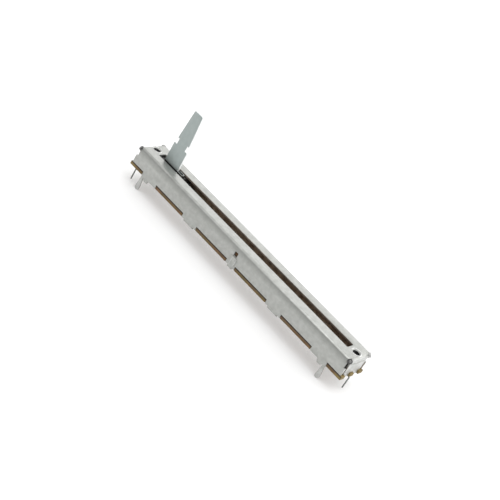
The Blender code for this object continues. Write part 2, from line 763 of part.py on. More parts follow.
def build_carriage(parts, tools, datum, moulding):
    """Mould the carriage: four runners, the pockets of lever and clip, and the stake posts."""
    back = mirrored(carriage_outline())
    plan = back + [(u, -v) for u, v in reversed(back)]
    middle = (CARRIAGE_MIDDLE, 0, (CARRIAGE_FLOOR + CARRIAGE_TOP) / 2)
    carriage = outline_solid("carriage", plan, CARRIAGE_TOP - CARRIAGE_FLOOR, parts, "XY", middle)
    boolean(carriage, lever_pocket(tools), "DIFFERENCE")
    boolean(carriage, clip_pocket(tools), "DIFFERENCE")
    low = STAKE_HEAD_TOP - STAKE_HEAD_HEIGHT
    post_low = STAKE_HEAD_TOP - STAKE_HEAD_HEIGHT / 2
    post_high = CARRIAGE_FLOOR + STAKE_HEAD_HEIGHT
    posts = cylinders("stake_posts", stake_places(), STAKE_POST / 2, post_low, post_high, tools)
    heads = cylinders("stake_heads", stake_places(), STAKE_HEAD / 2, low, STAKE_HEAD_TOP, tools)
    boolean(carriage, posts, "UNION")
    boolean(carriage, heads, "UNION")
    finish(carriage, moulding, datum)


def clip_pocket(collection):
    """Make the cutter of the clip's pocket, which opens into the lever's."""
    half = CLIP_WIDTH / 2 + SEAT_GAP
    low = (LEVER_WIDTH / 2, -half, CLIP_FLOOR - SEAT_GAP)
    high = (CLIP_END + SEAT_GAP, half, CASE_HEIGHT)
    return boxes("clip_pocket", [(low, high)], collection)


def build_clip(parts, datum, spring_steel):
    """Bend the clip: a strip on edge, turned back on itself, with its ends at the lever's side."""
    outer = CLIP_WIDTH / 2
    inner = outer - CLIP_SHEET
    centre = (CLIP_END - outer, 0)
    turn = ROUND_STEPS // 2
    points = [(CLIP_START, -outer)] + arc(centre, outer, -90, 90, turn) + [(CLIP_START, outer)]
    points += [(CLIP_START, inner)] + arc(centre, inner, 90, -90, turn) + [(CLIP_START, -inner)]
    middle = (CLIP_FLOOR + CLIP_TOP) / 2
    clip = outline_solid("lever_clip", points, CLIP_HEIGHT, parts, "XY", (0, 0, middle))
    finish(clip, spring_steel, datum)


def lever_pocket(collection):
    """Make the cutter of the pocket that holds the lever's root."""
    foot = lever_outline(SEAT_GAP)
    floor = CARRIAGE_FLOOR - CUT_MARGIN
    above = CASE_HEIGHT + CUT_MARGIN
    edge = [(foot[0][0], floor)] + foot[1:] + [(foot[2][0], above)]
    return outline_solid("lever_pocket", mirrored(edge), LEVER_THICKNESS + 2 * SEAT_GAP, collection, "XZ")


def build_lever(parts, datum, steel):
    """Stamp the lever: a root, a parallel base, a notched neck and a tapered blade."""
    width = LEVER_WIDTH / 2
    neck = NECK_WIDTH / 2
    neck_top = LEVER_SHOULDER + NECK_LENGTH
    blade = BLADE_WIDTH / 2
    tip = TIP_WIDTH / 2
    top = neck_top + BLADE_LENGTH
    shoulder_centre = (width - LEVER_SHOULDER_RADIUS, LEVER_SHOULDER - LEVER_SHOULDER_RADIUS)
    edge = lever_outline(0)
    edge += arc(shoulder_centre, LEVER_SHOULDER_RADIUS, 0, 90, ARC_STEPS)
    edge += [(neck, LEVER_SHOULDER), (neck, neck_top), (blade, neck_top)]
    edge += arc((tip - TIP_RADIUS, top - TIP_RADIUS), TIP_RADIUS, 0, 90, ARC_STEPS)
    lever = outline_solid("lever", mirrored(edge), LEVER_THICKNESS, parts, "XZ")
    finish(lever, steel, datum)


def stake_places():
    """Give the places of the two posts that hold the wiper's plate."""
    x_middle = CARRIAGE_FAR_END - WIPER_PLATE_INSET - WIPER_PLATE_LENGTH / 2
    return [(x_middle, -TRACK_SPREAD / 2), (x_middle, TRACK_SPREAD / 2)]


def wiper_profile():
    """List the wiper's sheet from the side: plate, sloped arm, contact and curled tip."""
    end = CARRIAGE_FAR_END - WIPER_PLATE_INSET
    start = end - WIPER_PLATE_LENGTH
    contact = start - WIPER_ARM_RUN
    tip = contact - WIPER_CURL
    top = [(end, WIPER_TOP), (start, WIPER_TOP)]
    low_z = FILM_TOP + SEAT_GAP
    top += [(contact, low_z + WIPER_SHEET), (tip, low_z + WIPER_SHEET + WIPER_CURL_RISE)]
    bottom = [(tip, low_z + WIPER_CURL_RISE), (contact, low_z)]
    bottom += [(start, WIPER_TOP - WIPER_SHEET), (end, WIPER_TOP - WIPER_SHEET)]
    return top + bottom, start


def arm_slits(start, collection):
    """Make the cutter that parts the arms and slits each into fingers."""
    far = -CARRIAGE_LENGTH
    half_spread = TRACK_SPREAD / 2
    low_z = -CUT_MARGIN
    high_z = CARRIAGE_FLOOR + CUT_MARGIN
    corners = []
    inner = COLLECTOR_WIDTH / 2
    gap_low = -half_spread + RESISTIVE_WIDTH / 2
    gap_high = half_spread - inner
    corners.append(((far, gap_low, low_z), (start, gap_high, high_z)))
    wide = WIPER_WIDTH
    corners.append(((far, -wide, low_z), (start, -half_spread - RESISTIVE_WIDTH / 2, high_z)))
    corners.append(((far, half_spread + inner, low_z), (start, wide, high_z)))
    for y_middle, width in ((-half_spread, RESISTIVE_WIDTH), (half_spread, COLLECTOR_WIDTH)):
        pitch = (width + FINGER_SLIT) / FINGER_COUNT
        for slit in range(1, FINGER_COUNT):
            y = y_middle - width / 2 - FINGER_SLIT / 2 + slit * pitch
            slit_start = start - WIPER_ARM_RUN / 4
            low = (far, y - FINGER_SLIT / 2, low_z)
            corners.append((low, (slit_start, y + FINGER_SLIT / 2, high_z)))
    return boxes("arm_slits", corners, collection)


def build_wiper(parts, tools, datum, bronze):
    """Stamp and bend the wiper that bridges the two tracks with sprung fingers."""
    points, start = wiper_profile()
    wiper = outline_solid("wiper", points, WIPER_WIDTH, parts, "XZ")
    boolean(wiper, arm_slits(start, tools), "DIFFERENCE")
    radius = STAKE_POST / 2 + SEAT_GAP
    holes = cylinders("stake_holes", stake_places(), radius, 0, CARRIAGE_FLOOR + CUT_MARGIN, tools)
    boolean(wiper, holes, "DIFFERENCE")
    finish(wiper, bronze, datum)


def build_side_spring(parts, datum, bronze):
    """Bow a leaf spring in the carriage's waist, out towards the front wall."""
    half = CARRIAGE_LENGTH / 2 - RUNNER_LENGTH - SEAT_GAP
    waist = CARRIAGE_SIDE - CARRIAGE_WAIST + SEAT_GAP
    rise = CARRIAGE_SIDE - waist - SPRING_SHEET
    radius = (half * half + rise * rise) / (2 * rise)
    sweep = math.degrees(math.asin(half / radius))
    centre = (0, -(waist + rise - radius))
    inner = arc(centre, radius, -90 - sweep, -90 + sweep, SPRING_STEPS)
    outer = [(u, v - SPRING_SHEET) for u, v in reversed(inner)]
    middle = (CARRIAGE_MIDDLE, 0, (CARRIAGE_FLOOR + CARRIAGE_TOP) / 2)
    spring = outline_solid("side_spring", inner + outer, SPRING_HEIGHT, parts, "XY", middle)
    finish(spring, bronze, datum)


def build():
    """Build the slide potentiometer."""
    clear_scene()
    parts = make_collection("slide_potentiometer")
    tools = make_collection("cutters")
    board_datum = make_datum("board_datum", (0, 0, LUG_DROP), parts)
    slider_axis = make_datum("slider_axis", (REST_X, 0, LUG_DROP), parts)
    plated = make_material("plated_steel", (0.62, 0.62, 0.59), 0.35, 0.8)
    lever_steel = make_material("lever_steel", (0.36, 0.40, 0.39), 0.45, 0.6)
    phenolic = make_material("phenolic", (0.22, 0.09, 0.03), 0.6, 0.0)
    carbon = make_material("carbon_print", (0.02, 0.018, 0.016), 0.7, 0.0)
    silver = make_material("silver_print", (0.55, 0.55, 0.53), 0.4, 0.7)
    brass = make_material("tinned_brass", (0.60, 0.60, 0.58), 0.3, 0.9)
    tinned = make_material("tinned_terminal", (0.50, 0.51, 0.50), 0.3, 0.9)
    rubber = make_material("buffer_moulding", (0.03, 0.03, 0.03), 0.8, 0.0)
    moulding = make_material("carriage_moulding", (0.04, 0.04, 0.045), 0.5, 0.0)
    spring_steel = make_material("clip_steel", (0.62, 0.63, 0.62), 0.25, 1.0)
    bronze = make_material("spring_bronze", (0.62, 0.38, 0.20), 0.35, 0.9)
    build_case(parts, tools, board_datum, plated)
    build_board(parts, board_datum, phenolic)
    build_tracks(parts, board_datum, carbon, silver)
    build_lands(parts, board_datum, silver)
    build_rivets(parts, board_datum, brass)
    build_terminals(parts, tools, board_datum, tinned)
    build_end_stops(parts, tools, board_datum, rubber)
    build_carriage(parts, tools, slider_axis, moulding)
    build_lever(parts, slider_axis, lever_steel)
    build_clip(parts, slider_axis, spring_steel)
    build_wiper(parts, tools, slider_axis, bronze)
    build_side_spring(parts, slider_axis, bronze)


build()
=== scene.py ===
# %% [markdown]
# # A slide potentiometer, dressed for its photograph
#
# The part is a long fader: a folded sheet-metal case with a slot, a flat steel lever that
# slides along it, a brown phenolic board below and a few pins and lugs that go through the
# customer's board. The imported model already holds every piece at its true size. This lesson
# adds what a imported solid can't hold: finishes, softened edges, threads and light.

import math

import bmesh
import bpy
from mathutils import Matrix, Vector


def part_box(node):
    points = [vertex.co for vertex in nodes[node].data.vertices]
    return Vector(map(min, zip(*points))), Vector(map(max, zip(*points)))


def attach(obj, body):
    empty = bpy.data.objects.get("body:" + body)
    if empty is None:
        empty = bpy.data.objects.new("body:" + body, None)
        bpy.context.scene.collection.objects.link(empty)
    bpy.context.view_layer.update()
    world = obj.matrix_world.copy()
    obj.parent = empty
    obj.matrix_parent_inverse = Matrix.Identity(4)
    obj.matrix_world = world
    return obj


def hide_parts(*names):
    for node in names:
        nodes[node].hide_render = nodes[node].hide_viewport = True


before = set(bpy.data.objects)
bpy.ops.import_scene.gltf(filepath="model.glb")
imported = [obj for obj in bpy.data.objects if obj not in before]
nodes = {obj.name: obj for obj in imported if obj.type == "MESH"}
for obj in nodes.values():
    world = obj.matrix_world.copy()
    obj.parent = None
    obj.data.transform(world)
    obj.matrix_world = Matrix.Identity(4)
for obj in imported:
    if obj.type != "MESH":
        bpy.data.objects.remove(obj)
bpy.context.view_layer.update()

# %% [markdown]
# ## Places that later cells use
#
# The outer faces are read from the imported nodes, so that a detail sits on the piece that
# carries it. The camera and several heights are measured from the board's top face. The lugs
# and the screw holes lie inside the case's box, so their places are written down.

# %% Measure the frame
MM = 0.001
board_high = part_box("circuit_board")[1]
case_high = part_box("case")[1]
BOARD_TOP = board_high.z
SIDE_FACE = board_high.y
CASE_TOP = case_high.z
CASE_END = case_high.x
RIB_FACE = case_high.y
LUG_TOP = 5.3 * MM
LUG_X = 56.22 * MM
SCREW_X = 61.17 * MM
SHEET = 0.8 * MM
print("board top", round(BOARD_TOP, 5), "case top", round(CASE_TOP, 5))

# %% [markdown]
# ## The camera
#
# The photograph was taken with a fairly long lens and with the camera turned on its axis, so
# that the long body fills the square from corner to corner. A camera is its place plus three
# directions: right, up and back. They are worked out from three angles, as a photographer
# would give them, and two small offsets that centre the picture.

# %% Place the camera
IMAGE_SIZE = 500
FOCAL_PIXELS = 1244.17
AZIMUTH = math.radians(27.56)
ELEVATION = math.radians(28.034)
ROLL = math.radians(31.775)
DISTANCE = 0.493323
SIDE_STEP = 0.00296
UP_STEP = 0.004294
SENSOR = 36.0

back = Vector((
    math.sin(AZIMUTH) * math.cos(ELEVATION),
    -math.cos(AZIMUTH) * math.cos(ELEVATION),
    math.sin(ELEVATION),
))
level_right = Vector((math.cos(AZIMUTH), math.sin(AZIMUTH), 0))
level_up = back.cross(level_right)
right = level_right * math.cos(ROLL) + level_up * math.sin(ROLL)
up = level_up * math.cos(ROLL) - level_right * math.sin(ROLL)
camera_data = bpy.data.cameras.new("photo_camera")
camera_data.sensor_width = SENSOR
camera_data.lens = FOCAL_PIXELS * SENSOR / IMAGE_SIZE
camera_data.clip_start = 0.01
camera_data.clip_end = 10
camera = bpy.data.objects.new("photo_camera", camera_data)
turn = Matrix((right, up, back)).transposed().to_4x4()
eye = back * DISTANCE + right * SIDE_STEP + up * UP_STEP + Vector((0, 0, BOARD_TOP))
camera.matrix_world = Matrix.Translation(eye) @ turn
bpy.context.scene.collection.objects.link(camera)
bpy.context.scene.camera = camera
print("lens", round(camera_data.lens, 1), "mm")

# %% [markdown]
# ## Node helpers
#
# A finish is a small network of nodes, and so is a repeated detail. Short helpers keep each
# network readable. The first ones add a node, join two sockets and start a finish. A number
# that is the same all over is set on the shader's own socket.

# %% Helpers for node trees
def add(tree, kind, **settings):
    """Add a node and set its plain properties."""
    node = tree.nodes.new(kind)
    for key, value in settings.items():
        setattr(node, key, value)
    return node


def join(tree, source, target):
    """Link an output socket to an input socket."""
    tree.links.new(source, target)


finishes_made = []


def start_finish(name, metallic):
    """Start a material and return it with its tree and its shader."""
    finishes_made.append(name)
    material = bpy.data.materials.new(name)
    material.use_nodes = True
    shader = material.node_tree.nodes["Principled BSDF"]
    shader.inputs["Metallic"].default_value = metallic
    return material, material.node_tree, shader


print("tree helpers ready")

# %% [markdown]
# Real surfaces vary, so a finish starts from noise. These helpers place a noise pattern on the
# piece, spread it over a range, turn it into a blend of two colours, or press it into the
# surface as a bump. The pattern hangs on Object coordinates, so it moves with its piece.

# %% Helpers for patterns
NOISE_LOW = 0.3
NOISE_HIGH = 0.7
# A Mix node has sockets for every kind of data. These are the places of its colour sockets.
COLOUR_A = 6
COLOUR_B = 7
COLOUR_RESULT = 2


def pattern(tree, stretch, scale, detail):
    """Give a noise value on Object coordinates, stretched along some axes."""
    place = add(tree, "ShaderNodeTexCoord")
    mapping = add(tree, "ShaderNodeMapping")
    mapping.inputs["Scale"].default_value = stretch
    noise = add(tree, "ShaderNodeTexNoise")
    noise.inputs["Scale"].default_value = scale
    noise.inputs["Detail"].default_value = detail
    join(tree, place.outputs["Object"], mapping.inputs["Vector"])
    join(tree, mapping.outputs["Vector"], noise.inputs["Vector"])
    return noise.outputs["Fac"]


def spread(tree, value, low=0.0, high=1.0):
    """Map a noise value, which keeps near its middle, onto a range."""
    mapper = add(tree, "ShaderNodeMapRange")
    mapper.inputs["From Min"].default_value = NOISE_LOW
    mapper.inputs["From Max"].default_value = NOISE_HIGH
    mapper.inputs["To Min"].default_value = low
    mapper.inputs["To Max"].default_value = high
    join(tree, value, mapper.inputs["Value"])
    return mapper.outputs["Result"]


def blend_colours(tree, factor, first, second):
    """Mix two colours, or a colour and a socket, by a factor socket."""
    mixer = add(tree, "ShaderNodeMix", data_type="RGBA")
    join(tree, factor, mixer.inputs["Factor"])
    for slot, colour in ((COLOUR_A, first), (COLOUR_B, second)):
        if isinstance(colour, tuple):
            mixer.inputs[slot].default_value = (*colour, 1)
        else:
            join(tree, colour, mixer.inputs[slot])
    return mixer.outputs[COLOUR_RESULT]


def raise_surface(tree, shader, height, strength, depth):
    """Press a height pattern into the surface, with its depth in metres."""
    bump = add(tree, "ShaderNodeBump")
    bump.inputs["Strength"].default_value = strength
    bump.inputs["Distance"].default_value = depth
    join(tree, height, bump.inputs["Height"])
    join(tree, bump.outputs["Normal"], shader.inputs["Normal"])


print("pattern helpers ready")

# %% [markdown]
# Wear and stains sit at known places. A mask says where: it is 0 outside such a place and 1
# inside it, with a soft edge between. Masks are made from the surface's own coordinates, and
# two of them multiply into one that holds only where both do.

# %% Helpers for masks by place
def axis_value(tree, axis):
    """Give one Object coordinate of the surface."""
    place = add(tree, "ShaderNodeTexCoord")
    parts = add(tree, "ShaderNodeSeparateXYZ")
    join(tree, place.outputs["Object"], parts.inputs[0])
    return parts.outputs[axis]


def step_between(tree, value, low, high):
    """Fade from 0 to 1 as a coordinate passes from low to high."""
    mapper = add(tree, "ShaderNodeMapRange")
    mapper.inputs["From Min"].default_value = low
    mapper.inputs["From Max"].default_value = high
    join(tree, value, mapper.inputs["Value"])
    return mapper.outputs["Result"]


def from_middle(tree, axis):
    """Give how far the surface is from the middle along one axis, without a sign."""
    size = add(tree, "ShaderNodeMath", operation="ABSOLUTE")
    join(tree, axis_value(tree, axis), size.inputs[0])
    return size.outputs[0]


def both_of(tree, first, second):
    """Multiply two masks: a socket by a socket or a number."""
    product = add(tree, "ShaderNodeMath", operation="MULTIPLY")
    join(tree, first, product.inputs[0])
    if isinstance(second, float):
        product.inputs[1].default_value = second
    else:
        join(tree, second, product.inputs[1])
    return product.outputs[0]


print("mask helpers ready")

# %% [markdown]
# ## Metal finishes
#
# Cold-rolled sheet carries faint lines along the direction that it was rolled in, and zinc
# plating shades it in soft patches. Long stretched noise makes the lines, and drives the
# roughness and a fine bump, where the eye reads metal. Round noise makes the patches, and drives
# the colour. The same recipe, with other numbers, gives the lever's polished steel, the tin on
# the pins and the bronze springs.

# %% Write the recipe for a metal
ALONG_X = (1.0, 14.0, 14.0)
ALONG_Z = (14.0, 14.0, 1.0)
EVEN = (1.0, 1.0, 1.0)
PATCH_SCALE = 520.0
PATCH_DETAIL = 5.0
GRAIN_SCALE = 420.0
GRAIN_DETAIL = 6.0
GRAIN_PRESS = 0.35


def metal_finish(name, dark, light, gloss, grain, depth, metallic=1.0, stain=None):
    """Make a metal with rolled grain in its gloss and soft patches in its colour."""
    material, tree, shader = start_finish(name, metallic)
    patches = pattern(tree, EVEN, PATCH_SCALE, PATCH_DETAIL)
    lines = pattern(tree, grain, GRAIN_SCALE, GRAIN_DETAIL)
    shade = blend_colours(tree, spread(tree, patches), dark, light)
    if stain:
        shade = stain(tree, shade)
    join(tree, shade, shader.inputs["Base Color"])
    join(tree, spread(tree, lines, *gloss), shader.inputs["Roughness"])
    raise_surface(tree, shader, lines, GRAIN_PRESS, depth)
    return material


print("metal recipe ready")

# %% [markdown]
# A tool leaves marks at known places, and painted shade and light are also put at known places,
# so these stains and painted shades are masks made from Object coordinates. The walls are
# painted darker just under the long bends, as painted shade, and the lugs are rubbed bright. The
# lever is painted dark where it stands in the slot, as painted shade. The pips and burrs at the
# back corners are painted lighter than those in front, as painted light.

# %% Stain the metals and paint their shade by place
BEND_SHADE_HEIGHTS = (BOARD_TOP + 4.4 * MM, BOARD_TOP + 6.6 * MM)
WALL = (SIDE_FACE - 0.45 * MM, SIDE_FACE - 0.15 * MM)
BEND_SHADE_STRENGTH = 0.54
BEND_SHADE_STEEL = (0.22, 0.225, 0.21)
LUG_FADE = 1.0 * MM
LUG_STRENGTH = 0.7
RUBBED_STEEL = (0.56, 0.565, 0.55)
ROOT = (CASE_TOP + 0.05 * MM, CASE_TOP - 0.30 * MM)
SLOT_SHADE_BLACK = (0.025, 0.023, 0.021)
BACK_LIGHT_FADE = 1.0 * MM
BACK_LIGHT_STRENGTH = 0.85
BACK_LIGHT_STEEL = (0.52, 0.52, 0.51)


def bend_shade_and_lug_wear(tree, shade):
    """Paint shade on the walls under the long bends, and rub the lugs bright."""
    height = axis_value(tree, "Z")
    high = step_between(tree, height, *BEND_SHADE_HEIGHTS)
    on_wall = step_between(tree, from_middle(tree, "Y"), *WALL)
    # Painted shade: a darker band on the side walls just under the long bends.
    bend_shade = both_of(tree, both_of(tree, high, on_wall), BEND_SHADE_STRENGTH)
    bend_shaded = blend_colours(tree, bend_shade, shade, BEND_SHADE_STEEL)
    lug = both_of(tree, step_between(tree, height, LUG_TOP, LUG_TOP - LUG_FADE), LUG_STRENGTH)
    return blend_colours(tree, lug, bend_shaded, RUBBED_STEEL)


def slot_painted_shade(tree, shade):
    """Paint shade on the lever where it stands in the slot."""
    # Painted shade: the lever is near black where the slot shades it.
    in_slot = step_between(tree, axis_value(tree, "Z"), *ROOT)
    return blend_colours(tree, in_slot, shade, SLOT_SHADE_BLACK)


def back_painted_light(tree, shade):
    """Paint light on the pips and burrs at the back corners."""
    # Painted light: the pips and burrs behind are lighter than those in front, where light
    # falls.
    at_back = step_between(tree, axis_value(tree, "Y"), -BACK_LIGHT_FADE, BACK_LIGHT_FADE)
    return blend_colours(tree, both_of(tree, at_back, BACK_LIGHT_STRENGTH), shade, BACK_LIGHT_STEEL)


print("stains ready")

# %% [markdown]
# Each metal now takes one call: its darkest and lightest colour, the range of its roughness,
# the direction of its grain and the grain's depth in metres. Plated or greased steel is less
# metallic than bare steel, because a thin dull film lies on it.

# %% Mix the metals
case_steel = metal_finish(
    "case_zinc_steel", (0.38, 0.387, 0.367), (0.475, 0.482, 0.46), (0.32, 0.46),
    ALONG_X, 1.6e-5, 0.75, bend_shade_and_lug_wear)
# Painted light: a lighter copy of the case steel for the end flaps, which face the light, and
# the flute crests.
painted_light_steel = metal_finish(
    "painted_light_zinc_steel", (0.52, 0.525, 0.51), (0.66, 0.665, 0.65), (0.34, 0.50),
    ALONG_X, 2.4e-5, 0.75)
corner_steel = metal_finish(
    "corner_burr_steel", (0.05, 0.05, 0.05), (0.14, 0.14, 0.14), (0.22, 0.40),
    EVEN, 1e-5, 1.0, back_painted_light)
pip_steel = metal_finish(
    "corner_pip_steel", (0.14, 0.14, 0.135), (0.30, 0.30, 0.29), (0.30, 0.45),
    EVEN, 1e-5, 0.75, back_painted_light)
# Painted shade: the bores and their threads are near black, as the inside of a hole lies in
# shade.
bore_shade_steel = metal_finish(
    "bore_painted_shade_steel", (0.05, 0.05, 0.05), (0.12, 0.12, 0.12), (0.35, 0.55),
    EVEN, 1e-5)
greased_steel = metal_finish(
    "case_greased_steel", (0.33, 0.23, 0.165), (0.68, 0.53, 0.41), (0.30, 0.50),
    EVEN, 2e-5, 0.75)
cut_edge_steel = metal_finish(
    "case_cut_edge_steel", (0.34, 0.285, 0.235), (0.58, 0.50, 0.43), (0.35, 0.50),
    EVEN, 1e-5, 0.75)
lever_face_steel = metal_finish(
    "lever_polished_steel", (0.34, 0.385, 0.375), (0.37, 0.415, 0.405), (0.30, 0.38),
    ALONG_Z, 2e-6, 0.45, slot_painted_shade)
# Partly painted highlight: the sheared edges are bare cut steel, and their near-white colour
# also stands in for the highlight they catch.
lever_edge_bare_and_highlight = metal_finish(
    "lever_bare_edge_highlight", (0.84, 0.86, 0.86), (0.94, 0.95, 0.95), (0.22, 0.45),
    ALONG_Z, 2e-5, 0.6)
# Partly painted highlight: the rims are burnished metal, and their near-white colour also stands
# in for the highlight they catch.
rim_burnished_and_highlight = metal_finish(
    "hole_rim_burnished_highlight_steel", (0.75, 0.755, 0.745), (0.88, 0.88, 0.87), (0.20, 0.36),
    EVEN, 1e-5, 0.7)
clip_steel = metal_finish(
    "clip_spring_steel", (0.17, 0.185, 0.18), (0.34, 0.36, 0.35), (0.16, 0.28),
    ALONG_X, 5e-6)
pin_tin = metal_finish(
    "pin_tin_plate", (0.10, 0.105, 0.10), (0.20, 0.21, 0.20), (0.22, 0.42),
    ALONG_Z, 1e-5)
rivet_brass = metal_finish(
    "rivet_tinned_brass", (0.58, 0.54, 0.42), (0.70, 0.68, 0.60), (0.20, 0.34),
    EVEN, 8e-6)
spring_bronze = metal_finish(
    "spring_bronze", (0.52, 0.30, 0.15), (0.68, 0.43, 0.24), (0.20, 0.34),
    ALONG_X, 8e-6)
print("metals:", len(finishes_made))

# %% [markdown]
# ## The board, the prints and the mouldings
#
# Phenolic board is paper soaked in brown resin. Its sawn edge shows the paper's fibres as fine
# flecks, olive clouds and small burns, a dark line along its top that is painted shade under the
# case's walls, and a greener lacquer towards the ends. The last two sit at known places, so they
# use the masks again.

# %% Make the phenolic board
FIBRES = ((0.5, 0.5, 6.0), 500.0, 6.0)
CLOUDS = ((1.0, 0.2, 0.2), 170.0, 2.0)
BURNS = (EVEN, 410.0, 3.0)
OLIVE_START = 60.5 * MM
OLIVE_FADE = 2.0 * MM
TOP_SHADE_DEPTH = 0.38 * MM
RESIN = ((0.055, 0.028, 0.013), (0.31, 0.160, 0.062))
OLIVE = ((0.105, 0.075, 0.020), (0.30, 0.215, 0.070))
CLOUD = (0.150, 0.112, 0.026)
BURN = (0.040, 0.024, 0.013)
BOARD_TOP_SHADE = (0.045, 0.026, 0.016)
CLOUD_SHARE = 0.85
BURN_SHARE = 0.45
BOARD_GLOSS = (0.45, 0.7)
TOOTH_PRESS = 0.5
BOARD_TOOTH = 3e-5

board_phenolic, tree, shader = start_finish("board_phenolic", 0.0)
fibres = pattern(tree, *FIBRES)
resin = blend_colours(tree, spread(tree, fibres), *RESIN)
clouds = pattern(tree, *CLOUDS)
resin = blend_colours(tree, spread(tree, clouds, 0.0, CLOUD_SHARE), resin, CLOUD)
burns = pattern(tree, *BURNS)
resin = blend_colours(tree, spread(tree, burns, 0.0, BURN_SHARE), resin, BURN)
near_end = step_between(tree, from_middle(tree, "X"), OLIVE_START, OLIVE_START + OLIVE_FADE)
olive = blend_colours(tree, spread(tree, fibres), *OLIVE)
lacquered = blend_colours(tree, near_end, resin, olive)
# Painted shade: a dark line along the top of the board's side edges, where the case's walls
# shade it.
edge_start = SIDE_FACE - TOP_SHADE_DEPTH
top_start = BOARD_TOP - TOP_SHADE_DEPTH
on_edge = step_between(tree, from_middle(tree, "Y"), edge_start, edge_start + TOP_SHADE_DEPTH / 2)
near_top = step_between(tree, axis_value(tree, "Z"), top_start, top_start + TOP_SHADE_DEPTH / 2)
top_shaded = blend_colours(tree, both_of(tree, on_edge, near_top), lacquered, BOARD_TOP_SHADE)
join(tree, top_shaded, shader.inputs["Base Color"])
join(tree, spread(tree, fibres, *BOARD_GLOSS), shader.inputs["Roughness"])
raise_surface(tree, shader, fibres, TOOTH_PRESS, BOARD_TOOTH)
print("board finish ready")

# %% [markdown]
# Carbon ink dries matt with a fine tooth from the printing screen, silver ink dries brighter
# and flakier, and moulded pieces show a faint even texture from the mould's spark-eroded
# walls. One recipe covers all of them.

# %% Make the prints and the mouldings
TOOTH_DETAIL = 5.0


def coated_finish(name, dark, light, gloss, scale, depth, metallic=0.0):
    """Make a non-metal, or an ink, with an even fine tooth."""
    material, tree, shader = start_finish(name, metallic)
    tooth = pattern(tree, EVEN, scale, TOOTH_DETAIL)
    shade = blend_colours(tree, spread(tree, tooth), dark, light)
    join(tree, shade, shader.inputs["Base Color"])
    join(tree, spread(tree, tooth, *gloss), shader.inputs["Roughness"])
    raise_surface(tree, shader, tooth, TOOTH_PRESS, depth)
    return material


carbon_ink = coated_finish(
    "carbon_ink", (0.012, 0.011, 0.010), (0.030, 0.027, 0.024), (0.5, 0.75), 2600, 1e-5)
silver_ink = coated_finish(
    "silver_ink", (0.42, 0.42, 0.40), (0.66, 0.66, 0.64), (0.35, 0.6), 2200, 1e-5, 0.8)
carriage_acetal = coated_finish(
    "carriage_acetal", (0.028, 0.027, 0.027), (0.050, 0.048, 0.047), (0.35, 0.5), 1500, 1e-5)
buffer_rubber = coated_finish(
    "buffer_rubber", (0.016, 0.016, 0.016), (0.036, 0.036, 0.037), (0.65, 0.85), 1800, 2e-5)
print("finishes so far:", len(finishes_made))

# %% [markdown]
# ## Softened edges
#
# No stamped or moulded edge is perfectly sharp, and its small round is what catches the light.
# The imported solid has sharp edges, so each softened piece is a copy: points that coincide are
# merged, flat regions are joined into single faces, and a Bevel modifier rounds every edge
# that turns by more than a set angle. A closed solid has no open edge, so their number is
# printed for each piece.

# %% Helpers for softened copies
MERGE = 1e-6
WELD = 1e-8
FLAT_ANGLE = math.radians(0.6)
EDGE_ANGLE = math.radians(32)
EDGE_SEGMENTS = 2


def copy_solid(node):
    """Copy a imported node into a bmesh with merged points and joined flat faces."""
    data = bmesh.new()
    data.from_mesh(nodes[node].data)
    bmesh.ops.remove_doubles(data, verts=data.verts, dist=MERGE)
    bmesh.ops.dissolve_limit(data, angle_limit=FLAT_ANGLE, verts=data.verts, edges=data.edges)
    return data


def plain_mesh(holder):
    """Turn an object with modifiers into one with a plain mesh."""
    graph = bpy.context.evaluated_depsgraph_get()
    mesh = bpy.data.meshes.new_from_object(holder.evaluated_get(graph))
    holder.modifiers.clear()
    holder.data = mesh
    return mesh


def open_edges(mesh):
    """Count the edges that don't join exactly two faces."""
    data = bmesh.new()
    data.from_mesh(mesh)
    bmesh.ops.remove_doubles(data, verts=data.verts, dist=WELD)
    count = sum(1 for edge in data.edges if len(edge.link_faces) != 2)
    data.free()
    return count


def soften(node, round_mm, finishes, body, sort_faces=None):
    """Make the shown copy of a node, with rounded edges and one or more finishes."""
    data = copy_solid(node)
    if sort_faces:
        for face in data.faces:
            face.material_index = sort_faces(face)
    mesh = bpy.data.meshes.new(f"{node}_shown")
    data.to_mesh(mesh)
    data.free()
    piece = bpy.data.objects.new(f"{node}_shown", mesh)
    bpy.context.scene.collection.objects.link(piece)
    for finish in finishes:
        mesh.materials.append(finish)
    mesh.shade_smooth()
    bevel = piece.modifiers.new("edge_round", "BEVEL")
    bevel.width = round_mm * MM
    bevel.segments = EDGE_SEGMENTS
    bevel.limit_method = "ANGLE"
    bevel.angle_limit = EDGE_ANGLE
    bevel.harden_normals = True
    plain = plain_mesh(piece)
    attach(piece, body)
    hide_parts(node)
    print(node, "faces", len(plain.polygons), "open edges", open_edges(plain))


print("softening helpers ready")

# %% [markdown]
# The lever and the case wear more than one finish. A stamping has two kinds of surface: the
# rolled faces of the sheet and the sheared edges where it was cut; the lever's near-white edges
# are bare cut steel with a painted highlight. The case also has bores painted near black as
# shade, greased walls inside, rubbed edges along its slot, and end flaps painted brighter as
# painted light. Two small functions look at a face's direction and place, and say which finish
# of the list it takes.

# %% Sort the faces by finish
FACES_AXIS = 0.5
SQUARE_TO_AXIS = 0.9
BORE_REACH = 1.7 * MM
SLOT_SIDE = 2.5 * MM
INSIDE_AREA = (7 * MM) ** 2

lever_finishes = [lever_face_steel, lever_edge_bare_and_highlight]
case_finishes = [case_steel, bore_shade_steel, greased_steel, painted_light_steel, cut_edge_steel]


def lever_face(face):
    """Give a rolled face or a sheared edge of the lever its finish."""
    rolled = abs(face.normal.y) > FACES_AXIS
    return lever_finishes.index(lever_face_steel if rolled else lever_edge_bare_and_highlight)


